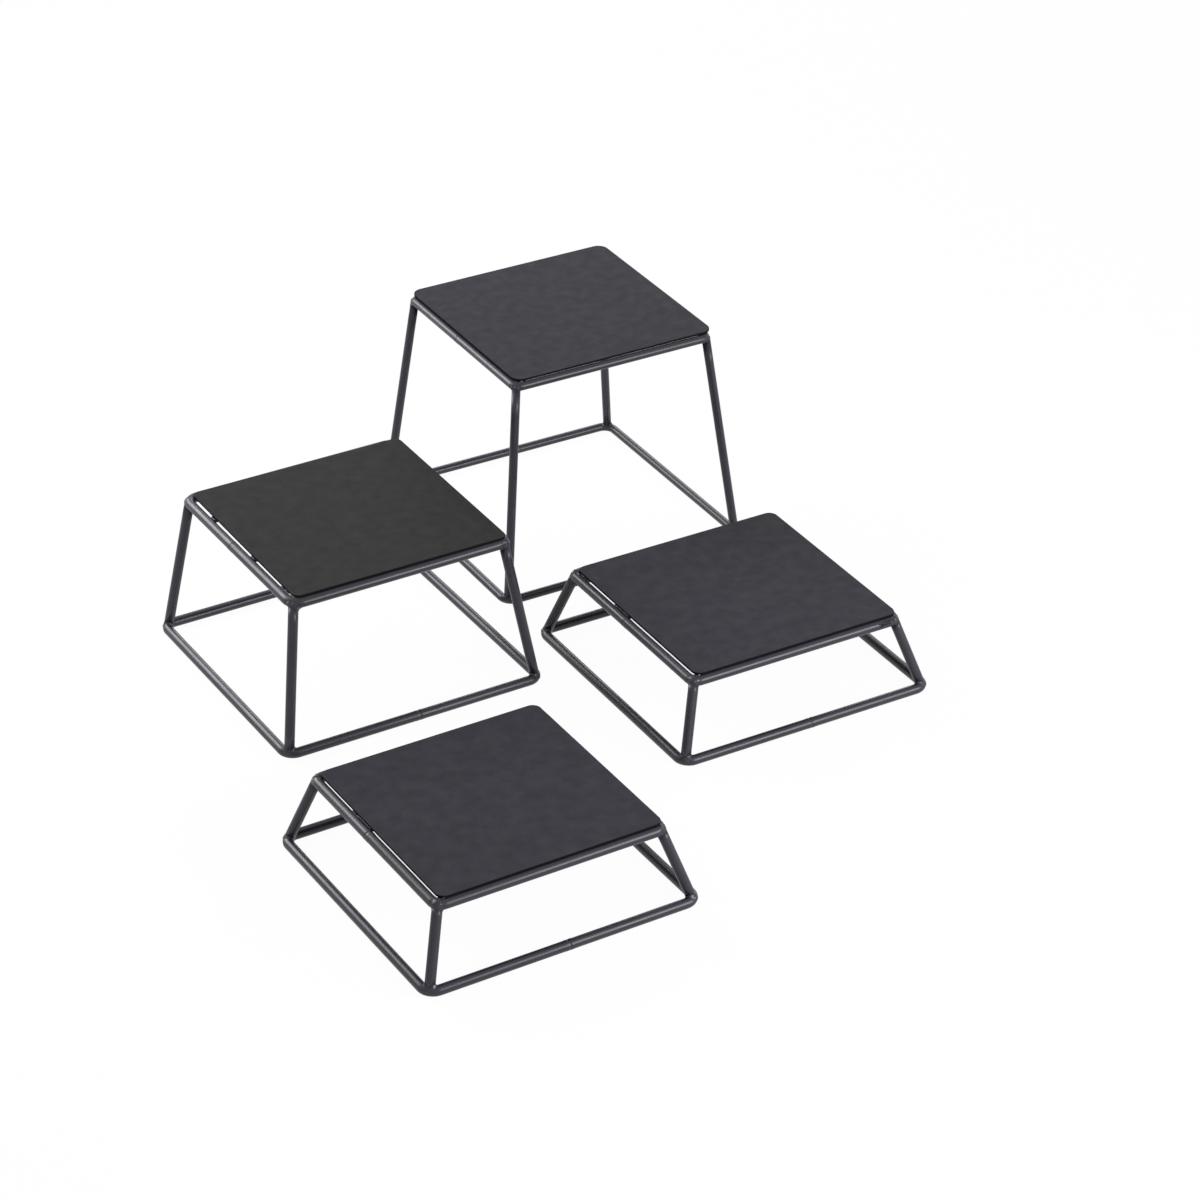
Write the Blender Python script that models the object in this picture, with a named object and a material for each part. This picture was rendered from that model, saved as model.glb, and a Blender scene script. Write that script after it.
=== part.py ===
"""Four free-standing display risers at three heights: bent-rod frames with loose deck panels."""

import math
from dataclasses import dataclass

import bmesh
import bpy
from mathutils import Matrix, Vector

# Rod and rings, in metres: sides are from rod centre to rod centre, bends at the centre line
TALL_ROD = 0.008
MID_ROD = 0.009
LOW_ROD = 0.009
BASE_SIDE = 0.250
BASE_BEND_RADIUS = 0.011
TALL_TOP_BEND = 0.007
MID_TOP_BEND = 0.011
LOW_TOP_BEND = 0.008

# Frame heights, from the floor to the top of the top ring
TALL_HEIGHT = 0.2122
MID_HEIGHT = 0.1434
LOW_HEIGHT = 0.0728

# Each leg's upper end stands this far outside the middle of the top ring's bend
LEG_OVERHANG = 0.001

# Deck panels
DECK_SIDE = 0.2066
DECK_THICKNESS = 0.002
DECK_ARRIS = 0.0003
TALL_DECK_CORNER = 0.010
MID_DECK_CORNER = 0.007
LOW_DECK_CORNER = 0.008

# The decks are larger than the rings' openings, so they lie on the rod: opening, less deck's side
TALL_PLAY = -0.0136
MID_PLAY = -0.0063
LOW_PLAY = -0.0074

# Support tabs: flat strips along the top ring's left and right sides, flush with its top.
# A tab reaches under the deck by its bearing, and its toe on the rod is a blunt edge, the land.
TAB_THICKNESS = 0.003
TAB_BEARING = 0.0097
TAB_LAND = 0.0006
TAB_CORNER_RADIUS = 0.0015
SHORT_TAB_WIDTH = 0.008
SHORT_TAB_PLACES = (0.056, -0.023)
LONG_TAB_WIDTH = 0.023
LONG_TAB_PLACES = (0.022,)

# Gap at every welded or resting seat
SEAT_GAP = 0.0003

# Where the risers stand: the clear gap to a neighbour's footprint, how far along it each is set,
# and how far each is turned. The middle one stands left of the tall one, the right low one in front
# of the tall one, and the front low one left of the right low one.
MID_GAP = 0.0313
MID_SET = -0.1296
LOW_RIGHT_GAP = 0.0517
LOW_RIGHT_SET = 0.0014
LOW_FRONT_GAP = 0.0870
LOW_FRONT_SET = -0.1795
TALL_TURN = math.radians(-0.4)
MID_TURN = math.radians(0.6)
LOW_FRONT_TURN = math.radians(0.9)

# How far each loose deck has slid from the middle of its ring, and turned on it
TALL_DECK_SLIP = (0.0035, 0.0037)
MID_DECK_SLIP = (0.0026, -0.0014)
LOW_DECK_SLIP = (0.0023, -0.0004)
MID_DECK_TURN = math.radians(-0.4)

# Facets: an odd number of steps round a bend leaves no edge on its diagonal
ROD_SIDES = 16
BEND_STEPS = 5
PLATE_CORNER_STEPS = 8

TALL_TOP_SIDE = DECK_SIDE + TALL_PLAY + TALL_ROD
MID_TOP_SIDE = DECK_SIDE + MID_PLAY + MID_ROD
LOW_TOP_SIDE = DECK_SIDE + LOW_PLAY + LOW_ROD
MID_PLACE = (-BASE_SIDE - (TALL_ROD + MID_ROD) / 2 - MID_GAP, MID_SET)
LOW_RIGHT_PLACE = (LOW_RIGHT_SET, -BASE_SIDE - (TALL_ROD + LOW_ROD) / 2 - LOW_RIGHT_GAP)
LOW_FRONT_STEP = (-BASE_SIDE - LOW_ROD - LOW_FRONT_GAP, LOW_FRONT_SET)
LOW_FRONT_PLACE = (LOW_RIGHT_PLACE[0] + LOW_FRONT_STEP[0], LOW_RIGHT_PLACE[1] + LOW_FRONT_STEP[1])
QUARTER_TURN = math.pi / 2
CORNERS = {"front": (-1, -1), "right": (1, -1), "back": (1, 1), "left": (-1, 1)}
TAB_SIDES = {"left": -1, "right": 1}


@dataclass
class Riser:
    """One riser: its frame, where it stands and how its deck lies."""

    name: str
    rod: float
    top_side: float
    top_bend: float
    height: float
    tab_width: float
    tab_places: tuple
    deck_corner: float
    deck_slip: tuple
    deck_turn: float = 0.0
    place: tuple = (0.0, 0.0)
    turn: float = 0.0

    @property
    def rod_radius(self):
        return self.rod / 2

    @property
    def top_level(self):
        """Height of the top ring's centre line."""
        return self.height - self.rod_radius

    @property
    def tab_reach(self):
        """From the rod's centre line to the tab's inner end, past the rod and the deck's edge."""
        deck_edge = (self.top_side - DECK_SIDE) / 2 + abs(self.deck_slip[0])
        return max(self.rod_radius, deck_edge) + TAB_BEARING


RISERS = (
    Riser(
        "tall", TALL_ROD, TALL_TOP_SIDE, TALL_TOP_BEND, TALL_HEIGHT, SHORT_TAB_WIDTH, SHORT_TAB_PLACES,
        TALL_DECK_CORNER, TALL_DECK_SLIP, turn=TALL_TURN,
    ),
    Riser(
        "mid", MID_ROD, MID_TOP_SIDE, MID_TOP_BEND, MID_HEIGHT, SHORT_TAB_WIDTH, SHORT_TAB_PLACES,
        MID_DECK_CORNER, MID_DECK_SLIP, MID_DECK_TURN, MID_PLACE, MID_TURN,
    ),
    Riser(
        "low_right", LOW_ROD, LOW_TOP_SIDE, LOW_TOP_BEND, LOW_HEIGHT, LONG_TAB_WIDTH, LONG_TAB_PLACES,
        LOW_DECK_CORNER, LOW_DECK_SLIP, place=LOW_RIGHT_PLACE,
    ),
    Riser(
        "low_front", LOW_ROD, LOW_TOP_SIDE, LOW_TOP_BEND, LOW_HEIGHT, LONG_TAB_WIDTH, LONG_TAB_PLACES,
        LOW_DECK_CORNER, LOW_DECK_SLIP, place=LOW_FRONT_PLACE, turn=LOW_FRONT_TURN,
    ),
)


def clear_scene():
    for obj in list(bpy.data.objects):
        bpy.data.objects.remove(obj)


def new_collection(name):
    collection = bpy.data.collections.new(name)
    bpy.context.scene.collection.children.link(collection)
    return collection


def painted(name, colour, roughness):
    """A Principled material for a surface that isn't bare metal."""
    material = bpy.data.materials.new(name)
    material.use_nodes = True
    shader = material.node_tree.nodes["Principled BSDF"]
    shader.inputs["Base Color"].default_value = (*colour, 1)
    shader.inputs["Roughness"].default_value = roughness
    shader.inputs["Metallic"].default_value = 0.0
    return material


def new_object(name, data, collection, parent, matrix):
    """An object placed by a matrix in its parent's frame."""
    obj = bpy.data.objects.new(name, data)
    obj.parent = parent
    obj.matrix_local = matrix
    collection.objects.link(obj)
    return obj


def rounded_rectangle(length, width, radius, steps):
    """Anticlockwise points from the front end of the left side, with an arc at each corner."""
    points = []
    for quarter, (side_x, side_y) in enumerate(CORNERS.values()):
        centre = Vector((side_x * (length / 2 - radius), side_y * (width / 2 - radius)))
        for step in range(steps + 1):
            angle = math.pi + QUARTER_TURN * (quarter + step / steps)
            points.append(centre + radius * Vector((math.cos(angle), math.sin(angle))))
    return points


def closed_curve(name, points, dimensions):
    """A closed curve of straight pieces through the points."""
    curve = bpy.data.curves.new(name, "CURVE")
    curve.dimensions = dimensions
    spline = curve.splines.new("POLY")
    spline.points.add(len(points) - 1)
    for target, point in zip(spline.points, points):
        target.co = (point.x, point.y, 0, 1)
    spline.use_cyclic_u = True
    return curve


def ring_curve(name, side, bend_radius, rod_radius):
    """A rod bent to a square with rounded corners."""
    curve = closed_curve(name, rounded_rectangle(side, side, bend_radius, BEND_STEPS), "3D")
    curve.fill_mode = "FULL"
    curve.twist_mode = "Z_UP"
    curve.bevel_depth = rod_radius
    curve.bevel_resolution = ROD_SIDES // 2 - 2
    return curve


def plate_curve(name, length, width, radius, thickness, arris=0.0):
    """A flat panel with rounded corners, centred on its own middle."""
    outline = rounded_rectangle(length - 2 * arris, width - 2 * arris, radius - arris, PLATE_CORNER_STEPS)
    curve = closed_curve(name, outline, "2D")
    curve.fill_mode = "BOTH"
    curve.extrude = thickness / 2 - arris
    curve.bevel_depth = arris
    curve.bevel_resolution = 0
    return curve


def closed_mesh(curve):
    """The mesh that a curve makes, with its caps welded to its sides."""
    guide = new_object(curve.name, curve, bpy.context.scene.collection, None, Matrix())
    graph = bpy.context.evaluated_depsgraph_get()
    mesh = bpy.data.meshes.new_from_object(guide.evaluated_get(graph))
    mesh.name = curve.name
    bpy.data.objects.remove(guide)
    bpy.data.curves.remove(curve)
    work = bmesh.new()
    work.from_mesh(mesh)
    bmesh.ops.remove_doubles(work, verts=work.verts, dist=1e-6)
    bmesh.ops.recalc_face_normals(work, faces=work.faces)
    work.to_mesh(mesh)
    work.free()
    return mesh


def rod_mesh(name, radius, length):
    """A straight rod along Z, centred on its own middle, with a facet square to its X axis."""
    mesh = bpy.data.meshes.new(name)
    work = bmesh.new()
    bmesh.ops.create_cone(
        work, cap_ends=True, segments=ROD_SIDES, radius1=radius, radius2=radius, depth=length,
        matrix=Matrix.Rotation(math.pi / ROD_SIDES, 4, "Z"),
    )
    work.to_mesh(mesh)
    work.free()
    return mesh


def smooth(mesh):
    mesh.shade_smooth()
    mesh.set_sharp_from_angle(angle=math.radians(40))


def cut(obj, cutter):
    modifier = obj.modifiers.new(cutter.name, "BOOLEAN")
    modifier.operation = "DIFFERENCE"
    modifier.solver = "EXACT"
    modifier.object = cutter


def bend_middle(corner, side, bend_radius, level):
    """Where a ring's centre line crosses its corner's diagonal."""
    diagonal = Vector((*CORNERS[corner], 0))
    place = diagonal * (side / 2 - bend_radius) + diagonal.normalized() * bend_radius
    place.z = level
    return place


class RiserBuilder:
    """Makes one riser's pieces under an empty on the floor at the riser's middle."""

    def __init__(self, riser, root, parts, cutters):
        self.riser = riser
        self.parts = parts
        self.cutters = cutters
        stand = Matrix.Translation((*riser.place, 0)) @ Matrix.Rotation(riser.turn, 4, "Z")
        self.stand = new_object(f"{riser.name}_riser", None, parts, root, stand)

    def build(self, coat, deck_finish):
        self.ring("top_ring", coat)
        self.ring("base_ring", coat)
        top_seat = self.seat("top_ring")
        base_seat = self.seat("base_ring")
        for corner in CORNERS:
            self.leg(corner, (top_seat, base_seat), coat)
        for side in TAB_SIDES:
            for number, along in enumerate(self.riser.tab_places, 1):
                self.tab(side, number, along, top_seat, coat)
        self.deck(deck_finish)

    def piece(self, name, data, material, matrix):
        data.materials.append(material)
        return new_object(f"{self.riser.name}_{name}", data, self.parts, self.stand, matrix)

    def ring_shape(self, name, rod_radius):
        """A ring's curve and its level, with the rod this thick."""
        if name == "top_ring":
            curve = ring_curve(name, self.riser.top_side, self.riser.top_bend, rod_radius)
            return curve, Matrix.Translation((0, 0, self.riser.top_level))
        curve = ring_curve(name, BASE_SIDE, BASE_BEND_RADIUS, rod_radius)
        return curve, Matrix.Translation((0, 0, self.riser.rod_radius))

    def ring(self, name, coat):
        curve, matrix = self.ring_shape(name, self.riser.rod_radius)
        self.piece(name, curve, coat, matrix)

    def seat(self, name):
        """A cutter a seat gap larger than a ring, which copes whatever is welded to it."""
        curve, matrix = self.ring_shape(name, self.riser.rod_radius + SEAT_GAP)
        cutter_name = f"{self.riser.name}_{name}_seat"
        cutter = new_object(cutter_name, closed_mesh(curve), self.cutters, self.stand, matrix)
        cutter.hide_render = True
        cutter.display_type = "WIRE"
        return cutter

    def leg(self, corner, seats, coat):
        """A leaning rod between two bends, each end coped to its ring."""
        outward = Vector((*CORNERS[corner], 0)).normalized()
        foot = bend_middle(corner, BASE_SIDE, BASE_BEND_RADIUS, self.riser.rod_radius)
        head = bend_middle(corner, self.riser.top_side, self.riser.top_bend, self.riser.top_level)
        head += outward * LEG_OVERHANG
        length = (head - foot).length
        along = (head - foot) / length
        across = along.cross(outward).normalized()
        outer = across.cross(along)
        turn = Matrix((outer, along.cross(outer), along)).transposed()
        matrix = Matrix.Translation((foot + head) / 2) @ turn.to_4x4()
        mesh = rod_mesh(f"leg_{corner}", self.riser.rod_radius, length)
        smooth(mesh)
        leg = self.piece(f"leg_{corner}", mesh, coat, matrix)
        for seat in seats:
            cut(leg, seat)

    def tab(self, side, number, along, seat, coat):
        """A strip inside the top ring, flush with the rod's top, that carries the deck's edge."""
        radius = self.riser.rod_radius
        toe = math.sqrt((radius + SEAT_GAP) ** 2 - (radius - TAB_LAND) ** 2)
        length = self.riser.tab_reach - toe
        middle = self.riser.top_side / 2 - toe - length / 2
        level = self.riser.height - TAB_THICKNESS / 2
        name = f"tab_{side}_{number}"
        curve = plate_curve(name, length, self.riser.tab_width, TAB_CORNER_RADIUS, TAB_THICKNESS)
        matrix = Matrix.Translation((TAB_SIDES[side] * middle, along, level))
        cut(self.piece(name, closed_mesh(curve), coat, matrix), seat)

    def deck(self, finish):
        """The loose panel, resting on the rod and the tabs."""
        level = self.riser.height + SEAT_GAP + DECK_THICKNESS / 2
        corner = self.riser.deck_corner
        mesh = closed_mesh(plate_curve("deck", DECK_SIDE, DECK_SIDE, corner, DECK_THICKNESS, DECK_ARRIS))
        smooth(mesh)
        matrix = Matrix.Translation((*self.riser.deck_slip, level))
        self.piece("deck", mesh, finish, matrix @ Matrix.Rotation(self.riser.deck_turn, 4, "Z"))


def stand_on_origin(root, parts):
    """Move the whole set so that the middle of its footprint is the origin."""
    bpy.context.view_layer.update()
    graph = bpy.context.evaluated_depsgraph_get()
    places = []
    for obj in parts.objects:
        if obj.type == "EMPTY":
            continue
        solid = obj.evaluated_get(graph)
        places += [solid.matrix_world @ vertex.co for vertex in solid.to_mesh().vertices]
        solid.to_mesh_clear()
    low = Vector(map(min, *places))
    high = Vector(map(max, *places))
    root.location = (-(low.x + high.x) / 2, -(low.y + high.y) / 2, -low.z)


def main():
    clear_scene()
    parts = new_collection("display_riser_set")
    cutters = new_collection("cutters")
    coat = painted("satin_black_powder_coat", (0.022, 0.022, 0.024), 0.38)
    deck_finish = painted("matt_charcoal_panel", (0.055, 0.055, 0.057), 0.6)
    root = new_object("riser_set", None, parts, None, Matrix())
    for riser in RISERS:
        RiserBuilder(riser, root, parts, cutters).build(coat, deck_finish)
    stand_on_origin(root, parts)


main()
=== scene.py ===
# %% [markdown]
# # Four display risers
# Risers like these lift dishes to different heights on a serving table. Each is a frame of black
# steel rod: a small square ring on top, a larger one on the table, four leaning legs welded between
# them, and a loose panel that lies on the top ring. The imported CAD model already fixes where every
# piece is and what it moves with. This lesson makes what the eye sees on top of that: round rod,
# weld beads, panels with a soft edge, two finishes, a light and a camera.

import math
from dataclasses import dataclass
from functools import partial

import bmesh
import bpy
import numpy as np
from mathutils import Matrix, Vector, noise


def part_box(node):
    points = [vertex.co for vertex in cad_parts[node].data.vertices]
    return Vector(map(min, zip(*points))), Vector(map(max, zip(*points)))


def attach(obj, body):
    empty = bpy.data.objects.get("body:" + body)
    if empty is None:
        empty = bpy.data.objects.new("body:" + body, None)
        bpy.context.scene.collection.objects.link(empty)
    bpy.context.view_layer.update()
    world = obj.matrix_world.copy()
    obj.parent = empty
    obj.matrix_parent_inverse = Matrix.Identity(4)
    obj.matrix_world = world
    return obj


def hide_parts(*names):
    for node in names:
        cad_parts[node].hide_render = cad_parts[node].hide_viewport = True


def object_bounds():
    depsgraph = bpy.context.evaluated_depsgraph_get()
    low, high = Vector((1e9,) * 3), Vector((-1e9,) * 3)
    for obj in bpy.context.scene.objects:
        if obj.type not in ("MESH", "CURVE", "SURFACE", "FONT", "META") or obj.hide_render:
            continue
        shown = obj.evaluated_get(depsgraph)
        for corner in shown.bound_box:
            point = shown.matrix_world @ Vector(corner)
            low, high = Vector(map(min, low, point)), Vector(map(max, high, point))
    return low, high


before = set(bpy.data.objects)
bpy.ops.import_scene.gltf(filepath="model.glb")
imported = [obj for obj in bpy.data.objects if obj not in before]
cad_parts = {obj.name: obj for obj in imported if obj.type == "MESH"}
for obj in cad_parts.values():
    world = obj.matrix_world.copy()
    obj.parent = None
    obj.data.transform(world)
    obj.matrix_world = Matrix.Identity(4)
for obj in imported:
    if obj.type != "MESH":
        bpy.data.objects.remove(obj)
cad_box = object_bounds()
cad_size = [round(v * 1000, 1) for v in cad_box[1] - cad_box[0]]
print(len(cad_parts), "CAD nodes in a box of", cad_size, "mm")

# %% [markdown]
# ## Sizes
# The frame gives each node's box, so a riser's place, its height and its panel's place are read from
# there. What a box can't tell is repeated here from the CAD: the rod, the bends, the panel, and how
# far each riser is turned on the table. Everything is in metres. Each riser is modelled about its own
# middle on the floor, and one matrix then puts it where it stands.

# %% Rod, rings and where each riser stands
BASE_SIDE = 0.250
BASE_BEND = 0.011
CORNERS = {"front": (-1, -1), "right": (1, -1), "back": (1, 1), "left": (-1, 1)}


@dataclass
class Ring:
    """A rod bent to a rounded square, measured along the rod's centre line."""

    side: float
    bend: float
    level: float
    rod_radius: float


@dataclass
class Riser:
    """One riser's own sizes, and its turn and its panel's in degrees."""

    name: str
    rod_radius: float
    top_side: float
    top_bend: float
    panel_corner: float
    turn: float
    panel_turn: float = 0.0

    def stand(self):
        """The matrix from the riser's own frame to where it stands."""
        low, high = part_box(f"{self.name}_base_ring")
        middle = (low + high) / 2
        turned = Matrix.Rotation(math.radians(self.turn), 4, "Z")
        return Matrix.Translation((middle.x, middle.y, 0)) @ turned

    def base(self):
        """The ring that stands on the table."""
        return Ring(BASE_SIDE, BASE_BEND, self.rod_radius, self.rod_radius)

    def top(self):
        """The ring that carries the panel."""
        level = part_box(f"{self.name}_top_ring")[1].z - self.rod_radius
        return Ring(self.top_side, self.top_bend, level, self.rod_radius)


RISERS = (
    Riser(
        "tall", rod_radius=0.0040, top_side=0.2010, top_bend=0.007,
        panel_corner=0.010, turn=-0.4,
    ),
    Riser(
        "mid", rod_radius=0.0045, top_side=0.2093, top_bend=0.011,
        panel_corner=0.007, turn=0.6, panel_turn=-0.4,
    ),
    Riser(
        "low_right", rod_radius=0.0045, top_side=0.2082, top_bend=0.008,
        panel_corner=0.008, turn=0.0,
    ),
    Riser(
        "low_front", rod_radius=0.0045, top_side=0.2082, top_bend=0.008,
        panel_corner=0.008, turn=0.9,
    ),
)
for riser in RISERS:
    print(riser.name, "stands at", [round(v * 1000, 1) for v in riser.stand().translation], "mm")

# %% [markdown]
# ## Camera
# A product picture like this is taken with a long lens from a few metres away, so the sides of the
# rings stay almost parallel. A camera can be placed by hand, but here it is worked out from a point
# on the floor that it looks at, a heading, a downward tilt and a distance, which are easy to read.
# Lens and sensor are in millimetres, as on a real camera.

# %% Camera
LOOKED_AT = Vector((0.1257, 0.0876, 0))
HEADING = math.radians(59.92)
TILT = math.radians(31.05)
ROLL = math.radians(0.16)
DISTANCE = 3.551
LENS = 115.77
SENSOR = 36
FARTHEST_SEEN = 100

forward = Vector((
    math.cos(HEADING) * math.cos(TILT),
    math.sin(HEADING) * math.cos(TILT),
    -math.sin(TILT),
))
camera = bpy.data.objects.new("camera", bpy.data.cameras.new("camera"))
camera.data.lens = LENS
camera.data.sensor_width = SENSOR
camera.data.clip_end = FARTHEST_SEEN
camera.matrix_world = (
    Matrix.Translation(LOOKED_AT - forward * DISTANCE)
    @ forward.to_track_quat("-Z", "Y").to_matrix().to_4x4()
    @ Matrix.Rotation(ROLL, 4, "Z")
)
bpy.context.scene.collection.objects.link(camera)
bpy.context.scene.camera = camera
bpy.context.scene.view_settings.view_transform = "Standard"
print("camera at", [round(v, 3) for v in camera.location], "with a lens of", LENS, "mm")

# %% [markdown]
# ## Helpers for materials
# Colours are easiest to pick as the hex values of a paint chart, but Blender mixes light in linear
# values, so one function converts them. A second function adds a node, sets it and wires it in one
# line, which keeps each material short enough to read from top to bottom.

# %% Colours and nodes
def linear(hex_colour):
    """An sRGB hex colour as the linear RGBA that a shader wants."""
    channels = [int(hex_colour[place:place + 2], 16) / 255 for place in (1, 3, 5)]
    return (*[c / 12.92 if c <= 0.04045 else ((c + 0.055) / 1.055) ** 2.4 for c in channels], 1)


def add_node(tree, kind, inputs=None, **settings):
    """Adds a node with its settings, and gives each input a value or a wire."""
    made = tree.nodes.new(kind)
    for name, value in settings.items():
        setattr(made, name, value)
    for name, source in (inputs or {}).items():
        if isinstance(source, bpy.types.NodeSocket):
            tree.links.new(source, made.inputs[name])
        else:
            made.inputs[name].default_value = source
    return made


def new_material(name):
    """An empty node tree and the output that it ends in."""
    material = bpy.data.materials.new(name)
    material.use_nodes = True
    material.node_tree.nodes.clear()
    return material, material.node_tree, material.node_tree.nodes.new("ShaderNodeOutputMaterial")


print("charcoal #38373c is", [round(v, 4) for v in linear("#38373c")[:3]], "in linear light")

# %% [markdown]
# ## Floor and surroundings
# The picture was taken on a white sweep. A white floor under enough light to look white would spoil
# the black paint, so the floor is an ordinary matt pale surface to the light that falls on the
# risers, and plain white to the camera and in reflections. A share of the lit surface is left in what
# is seen, so each frame keeps a faint shadow and doesn't float.

# %% Floor
FLOOR_SIDE = 30
FLOOR_DROP = 0.0003
SHADOW_SHARE = 0.035
SWEEP_GREY = "#ecebf2"


def seen(tree):
    """One for rays that see, straight or in a reflection, and none for rays that only bring light."""
    path = add_node(tree, "ShaderNodeLightPath").outputs
    indirect = {0: path["Is Glossy Ray"], 1: path["Is Transmission Ray"]}
    mirrored = add_node(tree, "ShaderNodeMath", indirect, operation="ADD")
    either = {0: path["Is Camera Ray"], 1: mirrored.outputs[0]}
    return add_node(tree, "ShaderNodeMath", either, operation="ADD", use_clamp=True).outputs[0]


material, tree, output = new_material("matt_white_sweep")
lit = add_node(tree, "ShaderNodeBsdfDiffuse", {"Color": linear(SWEEP_GREY)})
white = add_node(tree, "ShaderNodeEmission", {"Color": (1, 1, 1, 1), "Strength": 1.0})
shares = {0: seen(tree), 1: 1 - SHADOW_SHARE}
share = add_node(tree, "ShaderNodeMath", shares, operation="MULTIPLY")
surfaces = {0: share.outputs[0], 1: lit.outputs[0], 2: white.outputs[0]}
mixed = add_node(tree, "ShaderNodeMixShader", surfaces)
tree.links.new(mixed.outputs[0], output.inputs["Surface"])

mesh = bpy.data.meshes.new("floor")
work = bmesh.new()
bmesh.ops.create_grid(work, x_segments=1, y_segments=1, size=FLOOR_SIDE / 2)
work.to_mesh(mesh)
work.free()
mesh.materials.append(material)
floor = bpy.data.objects.new("floor", mesh)
floor.location.z = -FLOOR_DROP
bpy.context.scene.collection.objects.link(floor)
print("floor of", FLOOR_SIDE, "m, with", SHADOW_SHARE, "of the shadow kept")

# %% [markdown]
# ## Light
# Three soft boxes draw the long streaks on the rod: one behind and to the left, which the rods that
# run away from the camera reflect, one in front and to the right for the rods that run across, and
# one behind and to the right that lights the far rim. A rod shows a lamp as a thin line, so what
# matters is where each lamp stands and how large it looks. Seen from the risers, the first stands as
# high as the camera does and the second a little lower, which puts the line near the middle of the
# rod. The surroundings look plain white, as the floor does, but give only half that as an even fill,
# so that the lamps still model the forms. The lamps themselves stay out of sight.

# %% Surroundings
FILL = 0.50

world = bpy.data.worlds.new("white_studio")
world.use_nodes = True
bpy.context.scene.world = world
tree = world.node_tree
tree.nodes.clear()
strengths = {"Value": seen(tree), "To Min": FILL, "To Max": 1.0}
strength = add_node(tree, "ShaderNodeMapRange", strengths)
whites = {"Color": (1, 1, 1, 1), "Strength": strength.outputs[0]}
light = add_node(tree, "ShaderNodeBackground", whites)
add_node(tree, "ShaderNodeOutputWorld", {"Surface": light.outputs[0]})
print("fill light", FILL)

# %% Soft boxes
LAMP_WHITE = "#fbfaff"


def soft_box(name, place, aimed_at, width, height, brightness):
    """A rectangular lamp whose face is this many times as bright as white paper."""
    lamp = bpy.data.lights.new(name, "AREA")
    lamp.shape = "RECTANGLE"
    lamp.size = width
    lamp.size_y = height
    lamp.energy = brightness * math.pi * width * height
    lamp.color = linear(LAMP_WHITE)[:3]
    box = bpy.data.objects.new(name, lamp)
    box.location = place
    box.rotation_euler = (Vector(aimed_at) - Vector(place)).to_track_quat("-Z", "Y").to_euler()
    box.visible_camera = False
    bpy.context.scene.collection.objects.link(box)
    print(name, "at", place, "with", round(lamp.energy), "W")


soft_box(
    "soft_box_back_left", place=(-0.62, 1.15, 0.84), aimed_at=(-0.05, 0.05, 0.08),
    width=1.0, height=0.7, brightness=10,
)
soft_box(
    "soft_box_right", place=(0.74, -1.35, 0.66), aimed_at=(0.05, 0.0, 0.08),
    width=1.0, height=0.6, brightness=13,
)
soft_box(
    "soft_box_back_right", place=(1.50, 2.20, 0.95), aimed_at=(0.05, 0.1, 0.08),
    width=1.3, height=0.6, brightness=5,
)

# %% [markdown]
# ## Satin black powder coat on steel
# Steel rod like this is dusted with polymer powder and baked. The film is smooth but never flat: it
# keeps a shallow dimple called orange peel, a few millimetres across, and it is a little thicker and
# glossier in some places than in others. That gives the eye a dark, even black with a soft streak of
# light that wavers along the rod. It could be a plain black shader, but then the streak would be as
# straight as a ruler line. The paint is a polymer, so its IOR is about 1.5 and it isn't metallic.

# %% Powder coat
ORANGE_PEEL = 0.0032
FILM_PATCH = 0.014
PEEL_DEPTH = 0.000007

powder_coat, tree, output = new_material("satin_black_powder_coat")
place = add_node(tree, "ShaderNodeTexCoord").outputs["Object"]
peels = {"Vector": place, "Scale": 1 / ORANGE_PEEL, "Detail": 1.0}
peel = add_node(tree, "ShaderNodeTexNoise", peels).outputs["Fac"]
films = {"Vector": place, "Scale": 1 / FILM_PATCH, "Detail": 3.0}
film = add_node(tree, "ShaderNodeTexNoise", films).outputs["Fac"]
blacks = {"Factor": film, 6: linear("#201f27"), 7: linear("#2a2931")}
black = add_node(tree, "ShaderNodeMix", blacks, data_type="RGBA")
glosses = {"Value": film, "From Min": 0.3, "From Max": 0.7, "To Min": 0.32, "To Max": 0.39}
gloss = add_node(tree, "ShaderNodeMapRange", glosses)
dimples = {"Height": peel, "Distance": PEEL_DEPTH, "Strength": 1.0}
dimple = add_node(tree, "ShaderNodeBump", dimples)
paint = add_node(tree, "ShaderNodeBsdfPrincipled", {
    "Base Color": black.outputs[2],
    "Roughness": gloss.outputs[0],
    "Normal": dimple.outputs[0],
    "IOR": 1.5,
    "Specular IOR Level": 0.38,
})
tree.links.new(paint.outputs[0], output.inputs["Surface"])
print("orange peel", ORANGE_PEEL * 1000, "mm across and", PEEL_DEPTH * 1000, "mm deep")

# %% [markdown]
# ## Matt charcoal panel
# The panels are a dark board with a matt laminate face, and their sides are painted near-black as
# painted shade. Such a face scatters light widely, so it looks grey rather than black, and its
# texture breaks up nearly all mirror reflection, so its specular level is far below that of a smooth
# plastic. It is faintly cloudy: patches about a centimetre across where the face is a shade lighter,
# and a fine grain. The real grain is about 0.3 mm, too fine to show at this distance, so it is drawn
# at 1.5 mm. The painted shade on the sides is told from the face by which way the surface points, so
# one material does for the whole board. The middle riser's board is given a shade darker and less
# blue pair of greys, so the same steps are run twice with two pairs of greys.

# %% Panel face
CLOUD = 0.012
GRAIN = 0.0015
GRAIN_DEPTH = 0.00002
# Near-black painted on the panels' sides as painted shade.
PAINTED_SIDE_SHADE = "#141416"


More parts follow.
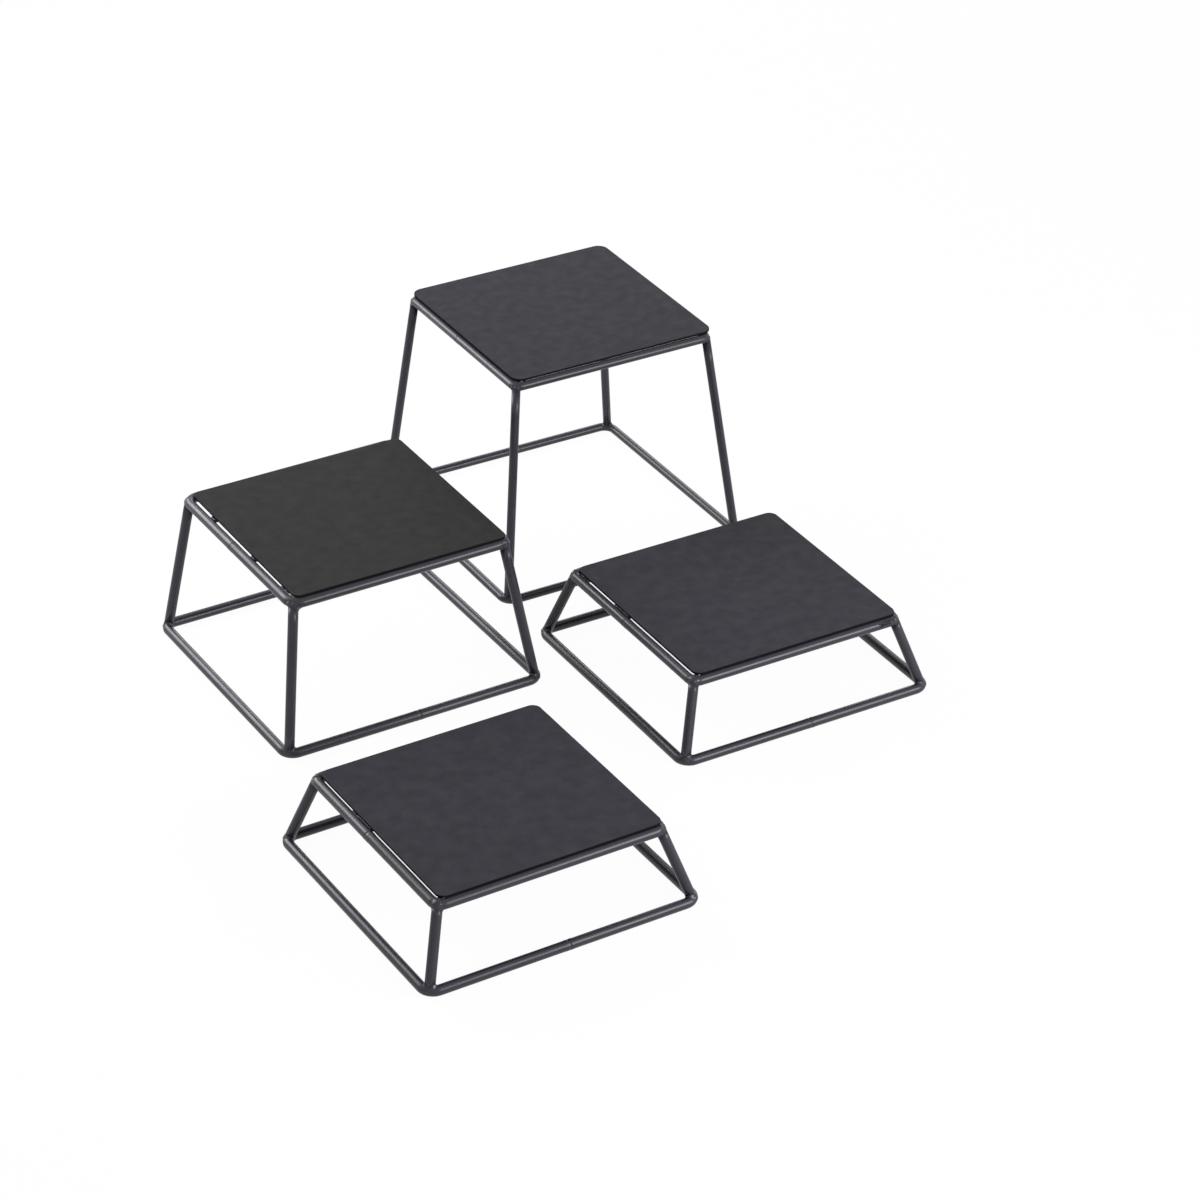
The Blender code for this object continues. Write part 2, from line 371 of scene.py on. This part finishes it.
def charcoal_laminate(name, dark, pale):
    """A matt laminate that clouds from one grey to another, with painted shade on its sides."""
    laminate, tree, output = new_material(name)
    where = add_node(tree, "ShaderNodeTexCoord").outputs
    clouds = {"Vector": where["Object"], "Scale": 1 / CLOUD, "Detail": 4.0}
    cloud = add_node(tree, "ShaderNodeTexNoise", clouds).outputs["Fac"]
    grains = {"Vector": where["Object"], "Scale": 1 / GRAIN, "Detail": 2.0}
    grain = add_node(tree, "ShaderNodeTexNoise", grains).outputs["Fac"]
    patches = {"Value": cloud, "From Min": 0.3, "From Max": 0.7}
    patch = add_node(tree, "ShaderNodeMapRange", patches)
    greys = {"Factor": patch.outputs[0], 6: linear(dark), 7: linear(pale)}
    charcoal = add_node(tree, "ShaderNodeMix", greys, data_type="RGBA")
    shades = {"Value": grain, "From Min": 0.25, "From Max": 0.75, "To Min": 0.95, "To Max": 1.05}
    shade = add_node(tree, "ShaderNodeMapRange", shades)
    shaded = {0: charcoal.outputs[2], 1: shade.outputs[0]}
    toned = add_node(tree, "ShaderNodeVectorMath", shaded, operation="MULTIPLY")
    # Painted shade: faces that point sideways or down get the near-black, faces that point up get the
    # laminate.
    upward = add_node(tree, "ShaderNodeSeparateXYZ", {0: where["Normal"]}).outputs[2]
    side_shade_ranges = {"Value": upward, "From Min": 0.3, "From Max": 0.9}
    side_shade_mask = add_node(tree, "ShaderNodeMapRange", side_shade_ranges)
    tones = {"Factor": side_shade_mask.outputs[0], 6: linear(PAINTED_SIDE_SHADE), 7: toned.outputs[0]}
    colour = add_node(tree, "ShaderNodeMix", tones, data_type="RGBA")
    sheens = {"Value": cloud, "From Min": 0.3, "From Max": 0.7, "To Min": 0.62, "To Max": 0.56}
    sheen = add_node(tree, "ShaderNodeMapRange", sheens)
    teeth = {"Height": grain, "Distance": GRAIN_DEPTH, "Strength": 0.6}
    tooth = add_node(tree, "ShaderNodeBump", teeth)
    face = add_node(tree, "ShaderNodeBsdfPrincipled", {
        "Base Color": colour.outputs[2],
        "Roughness": sheen.outputs[0],
        "Normal": tooth.outputs[0],
        "IOR": 1.5,
        "Specular IOR Level": 0.03,
    })
    tree.links.new(face.outputs[0], output.inputs["Surface"])
    return laminate


cool_laminate = charcoal_laminate("matt_charcoal_laminate", "#313035", "#38373c")
# The middle riser's board gets greys a shade darker and less blue.
warm_laminate = charcoal_laminate("matt_charcoal_laminate_warmer", "#2b2b2b", "#303030")
print("clouds", CLOUD * 1000, "mm across, grain", GRAIN * 1000, "mm")

# %% [markdown]
# ## Putting a piece in the frame
# Every piece is a mesh in its riser's own frame. One function moves it to where the riser stands,
# gives it its finish, lets it ride on its CAD body, and hides the plainer CAD node that it stands for.

# %% Add a piece
def add_piece(name, mesh, riser, finish, nodes=(), part="frame"):
    """Puts a mesh into the scene as a piece of a riser's frame or deck."""
    mesh.transform(riser.stand())
    mesh.materials.append(finish)
    mesh.shade_smooth()
    piece = bpy.data.objects.new(f"{riser.name}_{name}", mesh)
    bpy.context.scene.collection.objects.link(piece)
    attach(piece, f"{riser.name}_{part}")
    if nodes:
        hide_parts(*[f"{riser.name}_{node}" for node in nodes])
    return piece


def mesh_from(work, name):
    """A mesh from a finished edit, with its faces turned outwards."""
    bmesh.ops.recalc_face_normals(work, faces=work.faces)
    mesh = bpy.data.meshes.new(name)
    work.to_mesh(mesh)
    work.free()
    return mesh


rides = [f"{riser.name}_{part}" for riser in RISERS for part in ("frame", "deck")]
print("pieces ride on", rides)

# %% [markdown]
# ## Rings
# Each ring is one length of rod, bent at four corners and closed with a butt weld in the middle of a
# side. It could be swept by hand, but a curve with a round bevel does the same: its points follow the
# rod's centre line and each point has a radius, so the weld is a swell with a fine groove where the
# two rod ends meet. The curve is then turned into a mesh, which exports and measures cleanly, and the
# swell is ground flush above the upper ring and below the lower one, so that the panel and the frame
# lie flat.

# %% Bent rings
ROD_SIDES = 32
BEND_STEPS = 14
# Millimetres from the middle of the butt weld, and how thick the rod is there.
BUTT_WELD = (
    (-5, 1.0), (-2.2, 1.035), (-0.6, 1.02), (0, 0.95), (0.6, 1.035), (2.2, 1.04), (5, 1.0),
)
# The corner that the weld follows, and metres past the middle of that side.
TOP_WELD = ("left", -0.008)
BASE_WELD = ("front", 0.003)


def ring_points(ring, weld_after, weld_place):
    """The rod's centre line and its thickness, with a butt weld on the side after one corner."""
    points = []
    for quarter, (corner, (side_x, side_y)) in enumerate(CORNERS.items()):
        centre = Vector((side_x, side_y)) * (ring.side / 2 - ring.bend)
        for step in range(BEND_STEPS + 1):
            angle = math.pi + math.pi / 2 * (quarter + step / BEND_STEPS)
            points.append((centre + ring.bend * Vector((math.cos(angle), math.sin(angle))), 1.0))
        if corner == weld_after:
            along = Vector((-math.sin(angle), math.cos(angle)))
            middle = points[-1][0] + along * (ring.side / 2 - ring.bend + weld_place)
            points += [(middle + along * offset / 1000, scale) for offset, scale in BUTT_WELD]
    return points


def bent_rod(name, ring, points):
    """A closed rod along the points, as a mesh."""
    curve = bpy.data.curves.new(name, "CURVE")
    curve.dimensions = "3D"
    curve.twist_mode = "Z_UP"
    curve.bevel_depth = ring.rod_radius
    # Blender's round bevel has four sides, and two more for each step of resolution.
    curve.bevel_resolution = ROD_SIDES // 2 - 2
    spline = curve.splines.new("POLY")
    spline.points.add(len(points) - 1)
    spline.use_cyclic_u = True
    for target, (place, scale) in zip(spline.points, points):
        target.co = (place.x, place.y, ring.level, 1)
        target.radius = scale
    guide = bpy.data.objects.new(name, curve)
    mesh = bpy.data.meshes.new_from_object(guide)
    mesh.name = name
    bpy.data.objects.remove(guide)
    bpy.data.curves.remove(curve)
    return mesh


def ground_flush(mesh, riser):
    """Takes off what stands above a riser's top ring or below its base ring."""
    highest = riser.top().level + riser.rod_radius
    for vertex in mesh.vertices:
        vertex.co.z = min(max(vertex.co.z, 0), highest)
    return mesh


for riser in RISERS:
    top = bent_rod("top_ring", riser.top(), ring_points(riser.top(), *TOP_WELD))
    add_piece("top_rod", ground_flush(top, riser), riser, powder_coat, ["top_ring"])
    base = bent_rod("base_ring", riser.base(), ring_points(riser.base(), *BASE_WELD))
    add_piece("base_rod", ground_flush(base, riser), riser, powder_coat, ["base_ring"])
    print(riser.name, "rings of", len(top.polygons), "and", len(base.polygons), "faces")

# %% [markdown]
# ## How far away the metal is
# The legs have to stop where they meet the rings, and the welds have to fill the corner between them.
# Both need one question answered: how far is a point from a ring, or from a leg? A rounded square is
# easy to measure to, so the answer is a few lines of arithmetic on whole arrays of points at once.

# %% Distances to the rod
def to_ring(points, ring):
    """From each point to a ring's surface, and below zero inside the rod."""
    beyond = np.abs(points[..., :2]) - (ring.side / 2 - ring.bend)
    outside = np.linalg.norm(np.maximum(beyond, 0), axis=-1)
    inside = np.minimum(beyond.max(axis=-1), 0)
    return np.hypot(outside + inside - ring.bend, points[..., 2] - ring.level) - ring.rod_radius


def to_leg(points, foot, head, rod_radius):
    """From each point to a straight rod with square ends, and below zero inside it."""
    length = np.linalg.norm(head - foot)
    along = (points - foot) @ (head - foot) / length
    across = np.linalg.norm(points - foot - along[..., None] * (head - foot) / length, axis=-1)
    return np.maximum(across - rod_radius, np.abs(along - length / 2) - length / 2)


def bend_middle(corner, ring):
    """Where a ring's centre line crosses the diagonal at a corner."""
    reach = ring.side / 2 - ring.bend + ring.bend / math.sqrt(2)
    return np.array((CORNERS[corner][0] * reach, CORNERS[corner][1] * reach, ring.level))


for riser in RISERS:
    clear = 2 * float(to_ring(np.array((0, 0, riser.top().level)), riser.top()))
    print(riser.name, "top ring is open", round(clear * 1000, 1), "mm across")

# %% [markdown]
# ## Legs
# A leg's ends are coped: cut to a saddle that sits on the round of the ring. A Boolean could cut
# them, but it leaves ragged triangles. Here each line along the leg's surface simply runs until it
# meets the ring, which gives the same saddle with clean faces from end to end.

# %% Leaning legs
LEG_OVERHANG = 0.001
LOOK_AHEAD = 0.016
LOOK_STEPS = 161
LEG_LOOPS = 9


def leg_ends(riser, corner):
    """A leg's foot and head on the centre lines of the two rings."""
    foot = bend_middle(corner, riser.base())
    head = bend_middle(corner, riser.top())
    head[:2] += np.array(CORNERS[corner]) / math.sqrt(2) * LEG_OVERHANG
    return foot, head


def coped_end(lines, along, end, ring):
    """Where each line along the leg meets a ring, or the leg's square end if it passes the ring."""
    starts = lines - along * LOOK_AHEAD + end
    steps = np.linspace(0, LOOK_AHEAD, LOOK_STEPS)
    reached = to_ring(starts[:, None] + along * steps[:, None], ring) < 0
    first = np.where(reached.any(axis=1), reached.argmax(axis=1), len(steps) - 1)
    return starts + along * steps[first][:, None]


def coped_leg(name, foot, head, base, top):
    """A round leg between two rings."""
    along = (head - foot) / np.linalg.norm(head - foot)
    first = np.cross(along, (0, 0, 1))
    first /= np.linalg.norm(first)
    second = np.cross(along, first)
    turns = np.arange(ROD_SIDES) * 2 * math.pi / ROD_SIDES
    lines = base.rod_radius * (np.outer(np.cos(turns), first) + np.outer(np.sin(turns), second))
    lower = coped_end(lines, -along, foot, base)
    upper = coped_end(lines, along, head, top)
    work = bmesh.new()
    loops = []
    for share in np.linspace(0, 1, LEG_LOOPS):
        loops.append([work.verts.new(point) for point in lower + (upper - lower) * share])
    for below, above in zip(loops, loops[1:]):
        for index in range(ROD_SIDES):
            after = (index + 1) % ROD_SIDES
            work.faces.new((below[index], below[after], above[after], above[index]))
    middle_line = np.zeros((1, 3))
    lower_hub = coped_end(middle_line, -along, foot, base)[0]
    upper_hub = coped_end(middle_line, along, head, top)[0]
    for loop, place in ((loops[0], lower_hub), (loops[-1], upper_hub)):
        hub = work.verts.new(place)
        for index in range(ROD_SIDES):
            work.faces.new((loop[index], loop[(index + 1) % ROD_SIDES], hub))
    return mesh_from(work, name)


for riser in RISERS:
    for corner in CORNERS:
        foot, head = leg_ends(riser, corner)
        leg = coped_leg("leg", foot, head, riser.base(), riser.top())
        add_piece(f"leg_rod_{corner}", leg, riser, powder_coat, [f"leg_{corner}"])
    lean = math.degrees(math.acos((head - foot)[2] / np.linalg.norm(head - foot)))
    print(riser.name, "legs lean", round(lean, 1), "degrees")

# %% [markdown]
# ## Welds
# Each leg is joined to its rings by a weld: a bead of metal that fills the corner between the two
# rods, a little lumpy under the paint. It could be remeshed from overlapping rods, but there is a
# neater way. A ball is put round the joint and each of its points is drawn in until it meets the
# metal, where the corner between the rods counts as filled. Away from the corner the points end just
# under the rods' surface, so only the bead shows. No two beads are alike: each has its own
# unevenness, and one of the middle riser's has run out to one side. Where the welder stayed too long
# the metal has puddled inside the ring's corner or stands in a lump outside it, and a small ball of
# metal, drawn in together with the ring in the same way, makes those. The beads are ground flush as
# well.

# %% Weld sizes
TOP_FILL = {"tall": 0.0018, "mid": 0.0024, "low_right": 0.0018, "low_front": 0.0018}
BASE_FILL = 0.0020
BEAD = 0.0005
# The direction in which a weld has run out, in its riser's own frame.
RUN_OUT = {("mid", "front"): (0.80, -0.05, -0.60)}
# Metres outwards, upwards and sideways from the middle of the ring's bend, and the radius.
LUMPS = {
    ("tall", "front"): [
        (-0.0055, -0.0006, 0.0, 0.0040),
        (-0.0060, -0.0006, 0.0050, 0.0034),
        (-0.0060, -0.0006, -0.0050, 0.0034),
    ],
    ("mid", "front"): [(-0.0075, -0.0016, 0.0, 0.0036)],
    ("mid", "right"): [(0.0030, -0.0009, 0.0, 0.0042)],
    ("low_right", "front"): [(-0.0060, -0.0010, 0.0, 0.0036), (0.0020, 0.0, 0.0, 0.0045)],
    ("low_right", "right"): [(0.0025, 0.0018, -0.0020, 0.0022), (0.0010, 0.0030, -0.0110, 0.0018)],
    ("low_right", "left"): [(0.0010, 0.0034, 0.0, 0.0022)],
    ("low_front", "front"): [(-0.0060, -0.0010, 0.0, 0.0036), (0.0020, 0.0, 0.0, 0.0045)],
    ("low_front", "right"): [(0.0025, 0.0022, -0.0020, 0.0022)],
    ("low_front", "left"): [(0.0010, 0.0034, 0.0, 0.0022)],
}
print(sum(map(len, LUMPS.values())), "lumps and puddles at", len(LUMPS), "corners")

# %% Draw a ball in to the metal
UNDER_SURFACE = 0.0002
WELD_REACH = 0.013
BALL_STEPS = 5
DRAW_STEPS = 110
NEAREST_SHARE = 0.05
RIPPLES = 2.2
# Shares of the fill: how uneven it is, how wide its bead is, and how it grows where it has run out.
UNEVENNESS = 0.5
BEAD_WIDTH = 0.6
RUN_OUT_GAIN = 3
RUN_OUT_EDGE = 0.55


def to_ball(points, middle, radius):
    """From each point to a ball's surface, and below zero inside it."""
    return np.linalg.norm(points - middle, axis=-1) - radius


def weld(name, centre, first, second, fill, seed, run_out=(0, 0, 0)):
    """A ball drawn in to two pieces of metal, with the corner between them filled."""
    work = bmesh.new()
    bmesh.ops.create_icosphere(work, subdivisions=BALL_STEPS, radius=1)
    ways = np.array([vertex.co for vertex in work.verts])
    shift = Vector((seed, 0, 0))
    uneven = np.array([noise.noise(Vector(way) * RIPPLES + shift) for way in ways])[:, None]
    spread = np.maximum(ways @ np.array(run_out) - RUN_OUT_EDGE, 0)[:, None]
    fills = fill * (1 + UNEVENNESS * uneven + RUN_OUT_GAIN * spread)
    shares = np.linspace(1, NEAREST_SHARE, DRAW_STEPS)
    points = centre + ways[:, None] * WELD_REACH * shares[:, None]
    one = first(points) + UNDER_SURFACE
    two = second(points) + UNDER_SURFACE
    overlap = np.maximum(fills - np.abs(one - two), 0) / fills
    depth = np.minimum(one, two) - overlap ** 2 * fills / 4
    depth -= BEAD * (1 + uneven) * np.exp(-(one ** 2 + two ** 2) / (BEAD_WIDTH * fills) ** 2)
    inside = (depth < 0).argmax(axis=1)
    rows = np.arange(len(ways))
    before = np.maximum(inside - 1, 0)
    span = depth[rows, before] - depth[rows, inside]
    part = np.where(inside > 0, depth[rows, before] / np.where(span == 0, 1, span), 0)
    share = shares[before] + part * (shares[inside] - shares[before])
    for vertex, place in zip(work.verts, centre + ways * WELD_REACH * share[:, None]):
        vertex.co = place
    return mesh_from(work, name)


def join(name, meshes):
    """Several meshes as one."""
    work = bmesh.new()
    for mesh in meshes:
        work.from_mesh(mesh)
        bpy.data.meshes.remove(mesh)
    return mesh_from(work, name)


print("each weld is drawn in from", WELD_REACH * 1000, "mm away")

# %% Weld every corner
RISER_SEED = 7.3
CORNER_SEED = 1.9
LUMP_SEED = 20
BASE_SEED = 50

for number, riser in enumerate(RISERS):
    near_top = partial(to_ring, ring=riser.top())
    near_base = partial(to_ring, ring=riser.base())
    tops = []
    bases = []
    for quarter, corner in enumerate(CORNERS):
        foot, head = leg_ends(riser, corner)
        near_leg = partial(to_leg, foot=foot, head=head, rod_radius=riser.rod_radius)
        seed = RISER_SEED * number + CORNER_SEED * quarter
        run_out = RUN_OUT.get((riser.name, corner), (0, 0, 0))
        bead = weld("weld", head, near_leg, near_top, TOP_FILL[riser.name], seed, run_out)
        tops.append(ground_flush(bead, riser))
        out = np.array((*CORNERS[corner], 0)) / math.sqrt(2)
        along = np.array((-out[1], out[0], 0))
        for outward, upward, sideways, radius in LUMPS.get((riser.name, corner), ()):
            middle = bend_middle(corner, riser.top()) + outward * out + sideways * along
            middle = middle + (0, 0, upward)
            near_ball = partial(to_ball, middle=middle, radius=radius)
            fill = TOP_FILL[riser.name]
            tops.append(weld("lump", middle, near_ball, near_top, fill, seed + LUMP_SEED))
        bead = weld("weld", foot, near_leg, near_base, BASE_FILL, seed + BASE_SEED)
        bases.append(ground_flush(bead, riser))
    add_piece("top_welds", join("top_welds", tops), riser, powder_coat)
    add_piece("base_welds", join("base_welds", bases), riser, powder_coat)
    print(riser.name, "has", len(tops) + len(bases), "welds and lumps")

# %% [markdown]
# ## Support tabs
# Short flat strips are welded to the inside of the top ring's left and right sides, and the panel's
# edges rest on them. They are sheared from strip, so their corners are only just rounded, and the
# bevel is what catches the light. The outline is a rounded rectangle, pulled down and bevelled.

# %% Tabs
TAB_THICKNESS = 0.003
TAB_EDGE = 0.0004
TAB_CORNER = 0.0015
TAB_CORNER_STEPS = 6
EDGE_STEPS = 3


def rounded_outline(length, width, radius, steps):
    """The corners of a rectangle with rounded corners, about its middle."""
    points = []
    for quarter, (side_x, side_y) in enumerate(CORNERS.values()):
        for step in range(steps + 1):
            angle = math.pi + math.pi / 2 * (quarter + step / steps)
            points.append((
                side_x * (length / 2 - radius) + radius * math.cos(angle),
                side_y * (width / 2 - radius) + radius * math.sin(angle),
            ))
    return points


def soft_plate(name, outline, middle, top, thickness, edge):
    """A plate with rounded edges, kept flat right up to them."""
    work = bmesh.new()
    lid = work.faces.new([work.verts.new((x + middle.x, y + middle.y, top)) for x, y in outline])
    pulled = bmesh.ops.extrude_face_region(work, geom=[lid])["geom"]
    for vertex in [item for item in pulled if isinstance(item, bmesh.types.BMVert)]:
        vertex.co.z -= thickness
    rims = [side for side in work.edges if side.verts[0].co.z == side.verts[1].co.z]
    bmesh.ops.bevel(work, geom=rims, offset=edge, segments=EDGE_STEPS, profile=0.5, affect="EDGES")
    flats = sorted(work.faces, key=lambda item: item.calc_area())[-2:]
    bmesh.ops.inset_individual(work, faces=flats, thickness=edge, use_even_offset=True)
    return mesh_from(work, name)


for riser in RISERS:
    to_own = riser.stand().inverted()
    tabs = [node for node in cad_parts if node.startswith(f"{riser.name}_tab")]
    for node in tabs:
        places = [to_own @ vertex.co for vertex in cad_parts[node].data.vertices]
        low = Vector(map(min, *places))
        high = Vector(map(max, *places))
        outline = rounded_outline(high.x - low.x, high.y - low.y, TAB_CORNER, TAB_CORNER_STEPS)
        plate = soft_plate("tab", outline, (low + high) / 2, high.z, TAB_THICKNESS, TAB_EDGE)
        own_name = node.removeprefix(f"{riser.name}_")
        add_piece(own_name.replace("tab", "tab_strip"), plate, riser, powder_coat, [own_name])
    print(riser.name, "has", len(tabs), "tabs")

# %% [markdown]
# ## Panels
# A panel lies loose on its ring, not quite in the middle, and one lies a little crooked. Its edge is
# just broken with abrasive. The plate function made for the tabs does this too, with more steps
# round the corners. The CAD model leaves a hair's breadth under every loose piece, and light would
# show through it, so the panel is made thicker on its underside by nearly that much.

# %% Panels
PANEL_SIDE = 0.2066
PANEL_THICKNESS = 0.00225
PANEL_EDGE = 0.0003
PANEL_CORNER_STEPS = 16

for riser in RISERS:
    low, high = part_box(f"{riser.name}_deck")
    middle = riser.stand().inverted() @ ((low + high) / 2)
    turn = Matrix.Rotation(math.radians(riser.panel_turn), 2)
    square = rounded_outline(PANEL_SIDE, PANEL_SIDE, riser.panel_corner, PANEL_CORNER_STEPS)
    outline = [turn @ Vector(point) for point in square]
    plate = soft_plate("panel", outline, middle, high.z, PANEL_THICKNESS, PANEL_EDGE)
    laminate = warm_laminate if riser.name == "mid" else cool_laminate
    panel = add_piece("panel", plate, riser, laminate, ["deck"], "deck")
    faces = len(panel.data.polygons)
    print(riser.name, "panel of", faces, "faces, top at", round(high.z * 1000, 1), "mm")
